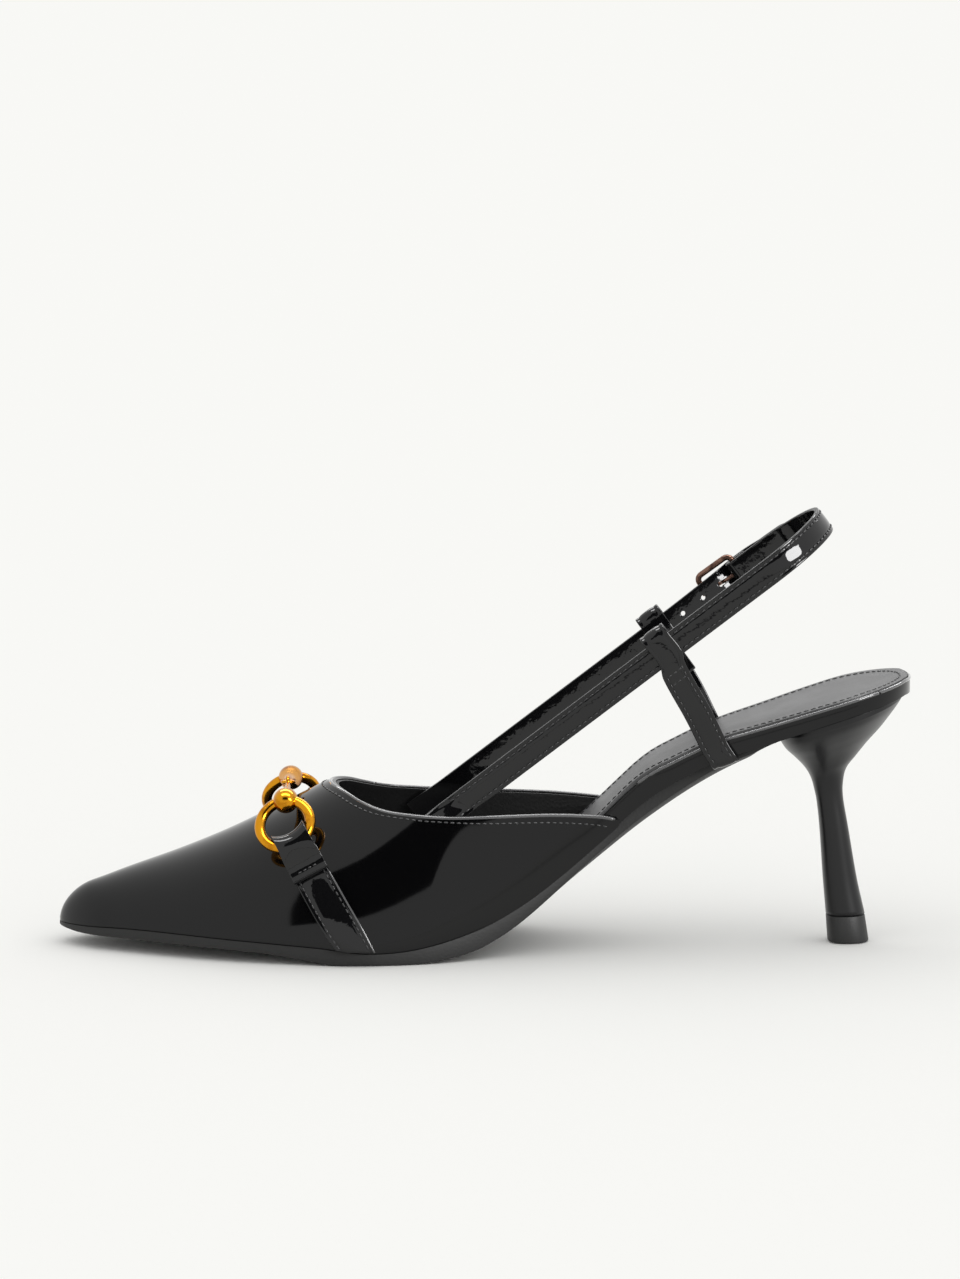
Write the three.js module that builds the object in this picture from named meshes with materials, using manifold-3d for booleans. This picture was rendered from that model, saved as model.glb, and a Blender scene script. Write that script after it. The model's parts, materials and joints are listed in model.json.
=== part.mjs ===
import * as THREE from "three";
import { mergeVertices } from "three/addons/utils/BufferGeometryUtils.js";
import Module from "manifold-3d";

// A slingback pump with a covered heel. Millimetres, +Z up, toe at -X, medial side at -Y.
const wasm = await Module();
wasm.setup();

// ---- driving sizes ----
const gap = 0.3;
const toeX = -125.3;
const heelX = 127.4;
const wingX = 41;
const sideShape = 0.62;
const upperThick = 1.2;
const puffThick = 0.8;
const liningThick = 0.9;
const strapThick = 1.4;
const slingWidth = 7.7;
const slingHalf = 22;
const slingSlope = Math.atan(0.762);
const slingRise = 49;
const slingBackA = 128.2;
const billetPitch = 7.4;
const barA = 98;
const frameLength = 12;
const frameWire = 0.9;
const frameHalfWidth = 5.7;
const ringRadius = 7.6;
const ringWire = 1.6;
const ringTilt = THREE.MathUtils.degToRad(55);
const ringSkew = THREE.MathUtils.degToRad(25);
const ringX = -57;
const ringLowY = 29.9;
const ringLowZ = 33.2;
const ringPitch = THREE.MathUtils.degToRad(13);
const vampStrapWidth = 11;
const tabWidth = 8;
const liftHeight = 8.1;
const tubeRadius = 1.6;
const pinRadius = 0.9;
const nailRadius = 0.8;
const screwRadius = 1.7;

const vec = (x, y, z) => new THREE.Vector3(x, y, z);
const mix = (a, b, t) => a + (b - a) * t;
const ease = (a, b, x) => THREE.MathUtils.smoothstep(x, a, b);

// a smooth line through points, held level past its ends
function curve(points) {
  const last = points.length - 1;
  const slopes = points.map((point, i) => {
    const before = points[Math.max(i - 1, 0)];
    const after = points[Math.min(i + 1, last)];
    return (after[1] - before[1]) / (after[0] - before[0]);
  });
  return (x) => {
    if (x <= points[0][0]) return points[0][1];
    if (x >= points[last][0]) return points[last][1];
    const i = points.findIndex((point) => point[0] > x) - 1;
    const step = points[i + 1][0] - points[i][0];
    const t = (x - points[i][0]) / step;
    const h = t * t * (3 - 2 * t);
    const rise = mix(points[i][1], points[i + 1][1], h);
    return rise + step * t * (1 - t) * ((1 - t) * slopes[i] - t * slopes[i + 1]);
  };
}

// side profiles against length
const seamZ = curve([[-125, 6.4], [-100, 7.3], [-72, 6.6], [-47, 5.2], [-33, 3.6], [-18, 4.6], [0, 9.3],
  [12, 15], [23.5, 23], [35, 32.5], [50.5, 46], [60, 52], [70, 57], [83.5, 62], [108, 70.7], [125, 75.5]]);
const soleCurve = curve([[-125, 5], [-118, 4.3], [-94, 4], [-65, 3.1], [-50, 1.2], [-42, -0.1], [-20, -0.1],
  [-9, 1.2], [0, 3.2], [13, 9.7], [31, 23], [49, 37.2], [66, 48.8], [84, 58.4], [90, 60.6]]);
const soleZ = (x) => Math.max(0, soleCurve(x));
const footbedRise = curve([[-125, 4.6], [-60, 5.2], [20, 6.2], [45, 8.8], [57, 7.6], [75, 6.7], [100, 5.7], [127, 5]]);
const toplineZ = curve([[-44.6, 48.5], [-39.6, 47], [-35.1, 45.1], [-29.2, 43.3], [-23.3, 42.4], [-8.7, 41.4],
  [20.4, 41.3], [35, 40.4], [41, 39.4]]);
const crestRise = curve([[-125.3, 9.4], [-116, 11.3], [-107, 14.2], [-89, 20.6], [-71, 28.8], [-44.6, 43.5],
  [-20, 57], [0, 64], [20, 65.5], [41, 60]]);
const sideWidth = curve([[-125.3, 9.5], [-111, 15.8], [-100, 21.5], [-85, 28.6], [-70, 34], [-50, 38.3], [-33, 39.2],
  [-15, 36.3], [0, 30.8], [20, 23.4], [35, 19.4], [50, 17.7], [65, 18.4], [80, 21], [95, 23.8], [105, 24.8]]);

const roundEnd = (q) => (q >= 1 ? 1 : Math.sqrt(Math.max(0, 1 - (1 - q) ** 2)));

// half width of the foot outline, drawn in by an inset
function halfWidth(x, inset = 0) {
  const toe = roundEnd((x - toeX - inset) / 14);
  const heel = roundEnd((heelX - inset - x) / 22);
  return Math.max(0.5, (sideWidth(x) - inset) * toe * heel);
}

const vampRise = (x, inset) => Math.max(1, (crestRise(x) - inset) * Math.max(0.1, roundEnd((x - toeX - inset) / 10)));

// height of the vamp at a share of the half width
const vampZ = (x, share, inset) => seamZ(x) + vampRise(x, inset) * (1 - share * share) ** sideShape;

// distance of the vamp wall from the centre plane at a height
function wallY(x, z, inset) {
  const level = THREE.MathUtils.clamp((z - seamZ(x)) / vampRise(x, inset), 0, 1);
  return halfWidth(x, inset) * Math.sqrt(1 - level ** (1 / sideShape));
}

// where the crest of the vamp meets the topline at an inset
function throatAt(inset, low) {
  let from = -75;
  let to = -20;
  for (let i = 0; i < 24; i += 1) {
    const x = (from + to) / 2;
    if (vampZ(x, 0, inset) > toplineZ(x) - low) to = x;
    else from = x;
  }
  return to;
}

// vamp surface: s runs medial wing, toe, lateral wing; t runs feather line to topline
function vampPoint(s, t, inset, low = 0) {
  const m = Math.abs(s);
  const side = Math.sign(s);
  const run = m ** 1.8;
  const footX = mix(toeX + inset, wingX, run);
  const topX = mix(throatAt(inset, low), wingX, run);
  const topY = m === 0 ? 0 : wallY(topX, toplineZ(topX) - low, inset);
  const g = 1 - Math.cos((t * Math.PI) / 2);
  const x = mix(footX, topX, g);
  const width = halfWidth(x, inset);
  const straight = mix(m === 0 ? 0 : halfWidth(footX, inset), topY, g) / width;
  const level = mix(1, topY / halfWidth(topX, inset), g);
  const share = Math.min(1, mix(straight, level, ease(0.5, 0.8, m)));
  return vec(x, side * share * width, vampZ(x, share, inset));
}

// ---- solids ----
function tidy(geometry) {
  geometry.deleteAttribute("normal");
  geometry.deleteAttribute("uv");
  const merged = mergeVertices(geometry, 1e-4);
  const spot = merged.attributes.position;
  const index = [...merged.index.array];
  const kept = [];
  const corner = (i) => vec(spot.getX(i), spot.getY(i), spot.getZ(i));
  let volume = 0;
  for (let i = 0; i < index.length; i += 3) {
    const [a, b, c] = index.slice(i, i + 3);
    if (a === b || b === c || c === a) continue;
    kept.push([a, b, c]);
    volume += corner(a).dot(corner(b).cross(corner(c)));
  }
  const faces = volume < 0 ? kept.map(([a, b, c]) => [a, c, b]) : kept;
  merged.setIndex(faces.flat());
  return merged;
}

// a unit block whose points are placed by a function of its three shares
function bend(nu, nv, nw, place) {
  const geometry = new THREE.BoxGeometry(1, 1, 1, nu, nv, nw);
  const spot = geometry.attributes.position;
  for (let i = 0; i < spot.count; i += 1) {
    const point = place(spot.getX(i) + 0.5, spot.getY(i) + 0.5, spot.getZ(i) + 0.5);
    spot.setXYZ(i, point.x, point.y, point.z);
  }
  return tidy(geometry);
}

// rings of points joined in order, with a fan on each end, or run round into a loop
function loft(rings, loop = false) {
  const count = rings[0].length;
  const points = rings.flat();
  const faces = [];
  const turns = loop ? rings.length : rings.length - 1;
  for (let i = 0; i < turns; i += 1) {
    const j = (i + 1) % rings.length;
    for (let k = 0; k < count; k += 1) {
      const n = (k + 1) % count;
      faces.push(i * count + k, j * count + k, j * count + n);
      faces.push(i * count + k, j * count + n, i * count + n);
    }
  }
  if (!loop) {
    for (const [row, flip] of [[0, false], [rings.length - 1, true]]) {
      const middle = vec(0, 0, 0);
      rings[row].forEach((point) => middle.add(point));
      points.push(middle.divideScalar(count));
      for (let k = 0; k < count; k += 1) {
        const here = row * count + k;
        const next = row * count + ((k + 1) % count);
        faces.push(points.length - 1, ...(flip ? [next, here] : [here, next]));
      }
    }
  }
  const geometry = new THREE.BufferGeometry();
  geometry.setAttribute("position", new THREE.Float32BufferAttribute(points.flatMap((p) => [p.x, p.y, p.z]), 3));
  geometry.setIndex(faces);
  return tidy(geometry);
}

function circle(centre, across, up, radius, count) {
  return Array.from({ length: count }, (unused, k) => {
    const angle = (k / count) * Math.PI * 2;
    return centre.clone().addScaledVector(across, radius * Math.cos(angle)).addScaledVector(up, radius * Math.sin(angle));
  });
}

function crossAxes(direction) {
  const helper = Math.abs(direction.x) < 0.8 ? vec(1, 0, 0) : vec(0, 1, 0);
  const across = direction.clone().cross(helper).normalize();
  return [across, direction.clone().cross(across).normalize()];
}

// a round bar through points with a radius at each
function bar(points, radii, count = 12) {
  const rings = points.map((point, i) => {
    const before = points[Math.max(i - 1, 0)];
    const after = points[Math.min(i + 1, points.length - 1)];
    const [across, up] = crossAxes(after.clone().sub(before).normalize());
    return circle(point, across, up, radii[i] ?? radii[0], count);
  });
  return loft(rings);
}

// a round wire run along a closed line lying square to an axis
function loopWire(points, axis, radius, count = 10) {
  const rings = points.map((point, i) => {
    const before = points[(i + points.length - 1) % points.length];
    const after = points[(i + 1) % points.length];
    const across = after.clone().sub(before).cross(axis).normalize();
    return circle(point, across, axis, radius, count);
  });
  return loft(rings, true);
}

function ringWireSolid(centre, across, up, radius, wire, around = 24, count = 10) {
  const axis = across.clone().cross(up).normalize();
  return loopWire(circle(centre, across, up, radius, around), axis, wire, count);
}

function toManifold(geometry) {
  const vertProperties = new Float32Array(geometry.attributes.position.array);
  return new wasm.Manifold(new wasm.Mesh({ numProp: 3, vertProperties, triVerts: new Uint32Array(geometry.index.array) }));
}

function fromManifold(solid) {
  const mesh = solid.getMesh();
  const geometry = new THREE.BufferGeometry();
  geometry.setAttribute("position", new THREE.Float32BufferAttribute(mesh.vertProperties, 3));
  geometry.setIndex([...mesh.triVerts]);
  return tidy(geometry);
}

function cut(base, tools) {
  return fromManifold(tools.reduce((solid, tool) => solid.subtract(toManifold(tool)), toManifold(base)));
}

function join(pieces) {
  return fromManifold(pieces.slice(1).reduce((solid, piece) => solid.add(toManifold(piece)), toManifold(pieces[0])));
}

// ---- finishes and naming ----
const shoe = new THREE.Group();
const finish = {
  patent: { color: 0x1a1a1c, roughness: 0.18, metalness: 0 },
  lining: { color: 0x3a3836, roughness: 0.7, metalness: 0 },
  sock: { color: 0x3f3f40, roughness: 0.5, metalness: 0 },
  sole: { color: 0x161616, roughness: 0.75, metalness: 0 },
  board: { color: 0xa98a5e, roughness: 0.9, metalness: 0 },
  cork: { color: 0xb88a55, roughness: 0.95, metalness: 0 },
  foam: { color: 0xe8dfc8, roughness: 0.95, metalness: 0 },
  heel: { color: 0x202022, roughness: 0.35, metalness: 0 },
  gold: { color: 0xc98a1b, roughness: 0.3, metalness: 1 },
  gunmetal: { color: 0x5a4a44, roughness: 0.3, metalness: 1 },
  steel: { color: 0x9a9ca0, roughness: 0.35, metalness: 1 },
};

function put(name, geometry, look) {
  const mesh = new THREE.Mesh(geometry, new THREE.MeshStandardMaterial(finish[look]));
  mesh.geometry.computeVertexNormals();
  mesh.name = name;
  shoe.add(mesh);
}

// ---- sole, boards and footbed ----
const soleHalf = (x) => halfWidth(x, mix(0.2, 4.6, ease(-10, 40, x)));
const footbedInset = (x) => mix(0, 3.4, 1 - ease(42, 56, x));
const footbedHalf = (x, more = 0) => halfWidth(x, footbedInset(x) + more);
const layerZ = (x, share) => seamZ(x) + footbedRise(x) * share;

// a plate along the foot between two height functions, with a half width at each length
function plate(fromX, toX, nu, nv, half, low, high) {
  return bend(nu, nv, 1, (u, v, w) => {
    const x = mix(fromX, toX, (1 - Math.cos(Math.PI * u)) / 2);
    const across = 2 * v - 1;
    const y = across * half(x);
    return vec(x, y, w > 0.5 ? high(x, across) : low(x, across));
  });
}

function outsole() {
  const edgeLift = (x) => mix(0, 3.2, ease(-5, 45, x)) * (1 - 0.5 * ease(70, 90, x));
  const low = (x, across) => soleZ(x) + edgeLift(x) * Math.abs(across) ** 2.5;
  return plate(toeX, 87, 30, 4, soleHalf, low, (x) => seamZ(x) - gap);
}

const bandFloor = 1;
const bandWall = 1.3;
const boardLow = (x) => seamZ(x) + bandFloor + 1.5 * gap;
const boardHigh = (x) => boardLow(x) + 1.4;

const bandTop = (x) => layerZ(x, 0.8);

function footbedBand() {
  const whole = plate(30, heelX, 22, 1, footbedHalf, seamZ, bandTop);
  const inner = (x) => footbedHalf(x, bandWall);
  const well = plate(26, heelX - bandWall, 22, 1, inner, (x) => seamZ(x) + bandFloor, (x) => layerZ(x, 1.2));
  const opening = (x) => footbedHalf(x, 8);
  const slot = plate(26, 116, 16, 1, opening, (x) => seamZ(x) - 3, (x) => layerZ(x, 0.5));
  return cut(whole, [well, slot]);
}

const insideVamp = (x, z) => wallY(x, z, upperThick + puffThick + liningThick + 2 * gap) - 2 * gap;
const boardHalf = (x) => (x < 20 ? insideVamp(x, boardHigh(x)) : footbedHalf(x, bandWall + 5 * gap));
const heelAxis = vec(-0.121, 0, 1).normalize();
const heelFoot = vec(108.9, 0, liftHeight + gap);
const onHeelAxis = (z) => heelFoot.clone().addScaledVector(heelAxis, (z - heelFoot.z) / heelAxis.z);
const screwX = 106;
const nailSpots = [[97, -9], [97, 9], [114, -9], [114, 9]];

function upright(x, y, low, high, radius, count = 12) {
  return bar([vec(x, y, low), vec(x, y, high)], [radius], count);
}

function insoleBoard() {
  const board = plate(-117, heelX - bandWall - 3 * gap, 30, 1, boardHalf, boardLow, boardHigh);
  const holes = nailSpots.map(([x, y]) => upright(x, y, 50, 95, nailRadius + gap, 8));
  return cut(board, [...holes, upright(screwX, 0, 50, 95, screwRadius + gap, 12)]);
}

function shank() {
  return plate(-4, 92, 20, 1, () => 5, seamZ, (x) => seamZ(x) + bandFloor);
}

const fillerHalf = (x) => halfWidth(x, 6);
put("outsole", outsole(), "sole");
put("bottom_filler", plate(-112, -8, 14, 1, fillerHalf, seamZ, (x) => seamZ(x) + bandFloor), "cork");
put("steel_shank", shank(), "steel");
put("insole_board", insoleBoard(), "board");
put("footbed_band", footbedBand(), "patent");
const padLow = (x) => boardHigh(x) + 1;
const padPlate = plate(64, 122, 14, 1, (x) => footbedHalf(x, 2), padLow, (x) => bandTop(x) - gap);
put("heel_pad", cut(padPlate, [upright(screwX, 0, 50, 95, screwRadius + 2, 12)]), "foam");
const sockTop = (x) => layerZ(x, 1);
const sockHalf = (x) => mix(insideVamp(x, sockTop(x)), halfWidth(x, 0.6), ease(42, 56, x));
put("sock_lining", plate(-115, heelX - 0.6, 36, 2, sockHalf, (x) => bandTop(x) + 1.5 * gap, sockTop), "sock");

// ---- heel ----
// front X, front Z, back X, back Z, half width
const heelSections = [
  [103.1, liftHeight + gap, 114.7, liftHeight + gap, 5.8], [102.1, 19.3, 112.2, 19.3, 5.1],
  [101, 34, 109.6, 34, 4.5], [100.1, 42, 108, 43, 4.3], [99.4, 45.4, 107.9, 48, 4.7],
  [98.6, 48.4, 108.9, 52.4, 6], [97.4, 51, 111.9, 56.5, 8.4], [95.6, 53.4, 115.2, 60.8, 11.4],
  [93.2, 55.8, 118.8, 65, 15], [90.8, 58, 121.6, 68.8, 18.6], [89.2, 60.4, 123.8, 72, 21.6],
  [88.6, 62.6, 125.2, 74.4, 23.2],
];

// a section with a flattened breast at the front and a round back
function heelRing([frontX, frontZ, backX, backZ, half], count = 18) {
  return Array.from({ length: count }, (unused, k) => {
    const angle = (k / count) * Math.PI * 2;
    const power = Math.cos(angle) < 0 ? 0.55 : 0.95;
    const run = Math.sign(Math.cos(angle)) * Math.abs(Math.cos(angle)) ** power;
    const share = (run + 1) / 2;
    return vec(mix(frontX, backX, share), half * Math.sin(angle), mix(frontZ, backZ, share));
  });
}

function heelBlock() {
  const rings = heelSections.map((section) => heelRing(section));
  rings.push(rings.at(-1).map((p) => vec(p.x, p.y, seamZ(p.x) - gap)));
  const bore = bar([onHeelAxis(5), onHeelAxis(56)], [tubeRadius + gap], 12);
  const holes = nailSpots.map(([x, y]) => upright(x, y, seamZ(x) - 6, 90, nailRadius + gap, 8));
  return cut(loft(rings), [bore, ...holes, upright(screwX, 0, 59.5, 90, screwRadius + gap, 12)]);
}

function heelTube() {
  const outer = bar([onHeelAxis(liftHeight + 2 * gap), onHeelAxis(55)], [tubeRadius], 12);
  return cut(outer, [bar([onHeelAxis(5), onHeelAxis(30)], [pinRadius + 0.15], 10)]);
}

function topLift() {
  const low = heelRing([103.7, 0, 116, 0, 6.1]);
  const high = heelRing([103.1, liftHeight, 114.7, liftHeight, 5.8]);
  return cut(loft([low, high]), [bar([onHeelAxis(3), onHeelAxis(12)], [pinRadius + gap], 10)]);
}

put("heel_block", heelBlock(), "heel");
put("heel_tube", heelTube(), "steel");
put("top_lift", topLift(), "sole");
put("top_lift_pin", bar([onHeelAxis(3.3), onHeelAxis(24)], [pinRadius], 10), "steel");
put("heel_screw", join([
  upright(screwX, 0, 60, boardHigh(screwX) + 1, screwRadius, 12),
  upright(screwX, 0, boardHigh(screwX) + 0.88, boardHigh(screwX) + 1.2, screwRadius + 0.6, 12),
]), "steel");
nailSpots.forEach(([x, y], i) => {
  put(`heel_nail_${i + 1}`, upright(x, y, seamZ(x) - 5.6, boardHigh(x) + gap, nailRadius, 8), "steel");
});

// ---- vamp ----
function vampShell(ns, nt, reach, span, insets, low) {
  return bend(ns, nt, 1, (u, v, w) => {
    const inset = insets(w);
    return vampPoint((2 * u - 1) * reach, v * span, inset, low);
  });
}

put("vamp_upper", vampShell(36, 9, 1, 1, (w) => mix(upperThick, 0, w), 0), "patent");
const puffInset = upperThick + gap;
put("toe_puff", vampShell(14, 5, 0.46, 0.55, (w) => puffInset + puffThick * (1 - w), 4), "board");

function vampLining() {
  return bend(28, 8, 1, (u, v, w) => {
    const s = 2 * u - 1;
    const toeShare = 1 - ease(0.5, 0.66, Math.abs(s));
    const deep = mix(upperThick + 1.5 * gap, upperThick + puffThick + 2 * gap, toeShare * (1 - ease(0.6, 0.85, v)));
    return vampPoint(s, v, deep + liningThick * (1 - w), 0.5);
  });
}
put("vamp_lining", vampLining(), "lining");

// ---- sling, billet and buckle: along the slope, across the foot, square to the slope ----
const along = vec(Math.cos(slingSlope), 0, Math.sin(slingSlope));
const square = vec(-Math.sin(slingSlope), 0, Math.cos(slingSlope));

function onSling(a, b, c) {
  return vec(0, b, slingRise).addScaledVector(along, a).addScaledVector(square, c);
}

// outer face of the straps: against the lining low down, straight above the topline
function strapFace(a, c) {
  const spot = onSling(a, 0, c);
  const wall = wallY(spot.x, spot.z, upperThick + liningThick + 3.4 * gap);
  return mix(wall, slingHalf, ease(-1, 5, spot.z - toplineZ(spot.x)));
}

// a strap of even width from stations that each give an outer and an inner point of its section
function strap(stations, width) {
  return bend(stations.length - 1, 1, 1, (u, v, w) => {
    const c = (v - 0.5) * width;
    const [outer, inner, narrow = 1] = stations[Math.round(u * (stations.length - 1))](c);
    const [a, b] = w > 0.5 ? outer : inner;
    return onSling(a, b, c * narrow);
  });
}

const steps = (from, to, count) => Array.from({ length: count + 1 }, (unused, i) => mix(from, to, i / count));
const straight = (a, side) => (c) => {
  const face = strapFace(a, c);
  return [[a, side * face], [a, side * (face - strapThick)]];
};

const backCentreA = slingBackA - slingHalf;
const turned = (angle, lift) => (c) => {
  const outer = slingHalf + lift;
  const inner = outer - strapThick;
  const [across, over] = [Math.cos(angle), Math.sin(angle)];
  return [[backCentreA + outer * across, outer * over], [backCentreA + inner * across, inner * over]];
};

// the heel bar of the buckle runs across the strap inside the fold
const foldInner = frameWire + gap;
const barB = slingHalf + foldInner;
const foldOuter = foldInner + strapThick;
const foldBack = 4.3;
const folded = (angle) => () => {
  const [across, over] = [Math.sin(angle), Math.cos(angle)];
  return [[barA - foldInner * across, barB - foldInner * over], [barA - foldOuter * across, barB - foldOuter * over]];
};

function slingStrap() {
  const stations = [
    ...steps(-25, 5, 8).map((a) => straight(a, -1)),
    ...[30, 64, 90].map((a) => straight(a, -1)),
    ...steps(-Math.PI / 2, Math.PI / 2, 16).map((angle) => turned(angle, 0)),
    ...[barA + 5, barA + 2].map((a) => straight(a, 1)),
    ...steps(0, Math.PI, 8).map((angle) => folded(angle)),
    () => [[barA + foldBack, barB + foldInner], [barA + foldBack, barB + foldOuter]],
  ];
  const slotFrom = onSling(barA - 4, barB, 0);
  const slotTo = onSling(barA + 2.8, barB, 0);
  const slot = bend(1, 1, 1, (u, v, w) => {
    const middle = slotFrom.clone().lerp(slotTo, u);
    return middle.addScaledVector(square, (v - 0.5) * 2.2).add(vec(0, (w - 0.5) * 6.4, 0));
  });
  return cut(strap(stations, slingWidth), [slot]);
}

const frontBarA = barA - frameLength;
const frontBarB = barB + 2;
const billetFace = curve([[60, slingHalf], [74, slingHalf + 0.3], [frontBarA, frontBarB - frameWire - gap],
  [barA - 6, 25.3], [barA - 1, barB + foldOuter + gap + strapThick],
  [barA + foldBack + 0.6, barB + foldOuter + gap + strapThick],
  [backCentreA + 2, slingHalf + strapThick + gap]]);
const prongHoleA = barA - 6.5;
const billetHoles = [-2, -1, 0, 1, 2].map((i) => prongHoleA + i * billetPitch);

function billet() {
  const level = (a) => () => [[a, billetFace(a)], [a, billetFace(a) - strapThick]];
  const tip = steps(Math.PI / 2 - 0.08, Math.PI / 2 - 0.62, 5);
  const narrow = [1, 1, 1, 0.86, 0.6, 0.2];
  const stations = [
    ...steps(-25, 5, 8).map((a) => straight(a, 1)),
    ...[30, 62].map((a) => straight(a, 1)),
    ...steps(70, 106, 15).map((a) => level(a)),
    ...tip.map((angle, i) => (c) => [...turned(angle, strapThick + gap)(c), narrow[i]]),
  ];
  const holes = billetHoles.map((a, i) => {
    const angle = a > backCentreA ? Math.PI / 2 - 0.1 : Math.PI / 2;
    const axis = vec(0, 1, 0).multiplyScalar(Math.sin(angle)).addScaledVector(along, Math.cos(angle));
    const middle = onSling(a, billetFace(Math.min(a, 106)) - strapThick / 2, 0);
    const stretch = i === 2 ? 2.1 : 1.1;
    const ends = [-3, 3].map((d) => middle.clone().addScaledVector(axis, d));
    const rings = ends.map((end) => circle(end, along.clone().multiplyScalar(stretch / 1.1), square, 1.1, 12));
    return loft(rings);
  });
  return cut(strap(stations, slingWidth), holes);
}

// points round a rectangle with round corners
function roundedFrame(halfA, halfC, radius, place) {
  const points = [];
  for (const [signA, signC, start] of [[1, 1, 0], [-1, 1, 1], [-1, -1, 2], [1, -1, 3]]) {
    for (const turn of steps(0, 1, 3)) {
      const angle = ((start + turn) * Math.PI) / 2;
      const a = signA * (halfA - radius) + radius * Math.cos(angle);
      points.push(place(a, signC * (halfC - radius) + radius * Math.sin(angle)));
    }
  }
  return points;
}

function buckleFrame() {
  const middleA = (barA + frontBarA) / 2;
  const points = roundedFrame(frameLength / 2, frameHalfWidth, 1.8, (a, c) => {
    const share = 0.5 - a / frameLength;
    return onSling(middleA + a, mix(barB, frontBarB, share), c);
  });
  const axis = points[1].clone().sub(points[5]).cross(square).normalize();
  return loopWire(points, axis, frameWire, 10);
}

function buckleProng() {
  const eye = ringWireSolid(onSling(barA, barB, 0), along, vec(0, 1, 0), 1.75, 0.45, 12, 6);
  const path = [[1.75, 0.1], [4.6, 0.2], [5.8, 1], [7, 2.6], [8.4, 3.4], [12.6, 3.85], [13.6, 3.7]];
  const points = path.map(([a, lift]) => onSling(barA - a, barB + lift, 0));
  return join([eye, bar(points, [0.45, 0.6, 0.6, 0.6, 0.6, 0.6, 0.4], 6)]);
}

put("sling_strap", slingStrap(), "patent");
put("sling_billet", billet(), "patent");
put("buckle_frame", buckleFrame(), "gunmetal");
put("buckle_prong", buckleProng(), "gunmetal");

// ---- tabs that hold the sling to the footbed band ----
const tabFoot = vec(72, 0, 56.5);
const tabTopC = slingWidth / 2 + gap;

function strapTab(side) {
  const rel = tabFoot.clone().sub(vec(0, 0, slingRise));
  const foot = { a: rel.dot(along), c: rel.dot(square) };
  const topA = 68;
  const outerB = slingHalf + gap;
  const bandB = halfWidth(tabFoot.x) + gap;
  const turn = gap + strapThick / 2;
  const seamRun = vec(8, 0, seamZ(tabFoot.x + 4) - seamZ(tabFoot.x - 4));
  const middle = (a, b, c) => ({ a, b, c });
  const centre = [
    middle(foot.a, bandB - 3.4, foot.c + 0.1), middle(foot.a, bandB - 0.6, foot.c),
    middle(foot.a, bandB + 0.7, foot.c + 0.9), middle(foot.a + 0.4, bandB + 0.9, foot.c + 6),
    middle(mix(foot.a, topA, 0.4), mix(bandB, outerB, 0.45) + 0.7, mix(foot.c, tabTopC, 0.4)),
    middle(mix(foot.a, topA, 0.75), outerB + 0.6, mix(foot.c, tabTopC, 0.75)),
    middle(topA, outerB + 0.7, tabTopC - slingWidth + 1),
  ];
  for (const angle of steps(0, Math.PI, 6)) {
    const reach = strapThick + turn;
    centre.push(middle(topA, slingHalf - strapThick / 2 + (reach - strapThick / 2 + 0.05) * Math.cos(angle),
      tabTopC + reach * Math.sin(angle)));
  }
  centre.push(middle(topA, slingHalf - strapThick - turn - 0.05, -slingWidth / 2 - 0.6));
  centre.push(middle(topA, outerB - strapThick / 2 - gap, -slingWidth / 2 - 5.6));
  const last = centre.length - 1;
  return bend(last, 1, 1, (u, v, w) => {
    const i = Math.round(u * last);
    const before = centre[Math.max(i - 1, 0)];
    const after = centre[Math.min(i + 1, last)];
    const length = Math.hypot(after.b - before.b, after.c - before.c);
    const normal = [(after.c - before.c) / length, -(after.b - before.b) / length];
    const off = (w - 0.5) * strapThick;
    const at = centre[i];
    const low = 1 - ease(foot.c + 6, foot.c + 20, at.c);
    const across = along.clone().lerp(seamRun, low).normalize();
    const point = onSling(at.a, side * (at.b + normal[0] * off), at.c + normal[1] * off);
    point.addScaledVector(across, (v - 0.5) * tabWidth);
    point.y += side * low * (halfWidth(point.x) - halfWidth(tabFoot.x));
    return point;
  });
}

put("tab_medial", strapTab(-1), "patent");
put("tab_lateral", strapTab(1), "patent");

// ---- vamp straps, rings and bit ----
// the ring plane: up its slope towards the middle, along the shoe, and square to it
function ringAxes(side) {
  const up = vec(0, -side * Math.cos(ringTilt), Math.sin(ringTilt));
  const level = vec(0, side * Math.sin(ringTilt), Math.cos(ringTilt));
  const length = vec(Math.cos(ringPitch), 0, 0).addScaledVector(level, Math.sin(ringPitch));
  const out = vec(-Math.sin(ringPitch), 0, 0).addScaledVector(level, Math.cos(ringPitch));
  const centre = vec(ringX, side * ringLowY, ringLowZ).addScaledVector(up, ringRadius);
  const pull = up.clone().multiplyScalar(Math.cos(ringSkew)).addScaledVector(length, -Math.sin(ringSkew));
  const wide = length.clone().multiplyScalar(Math.cos(ringSkew)).addScaledVector(up, Math.sin(ringSkew));
  const top = centre.clone().addScaledVector(up, ringRadius);
  return { up, length, out, centre, pull, wide, top, fold: centre.clone().addScaledVector(pull, -ringRadius) };
}

const strapFootX = -36;
const bendInner = ringWire + 3 * gap;
const foldWidth = 9;

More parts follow.
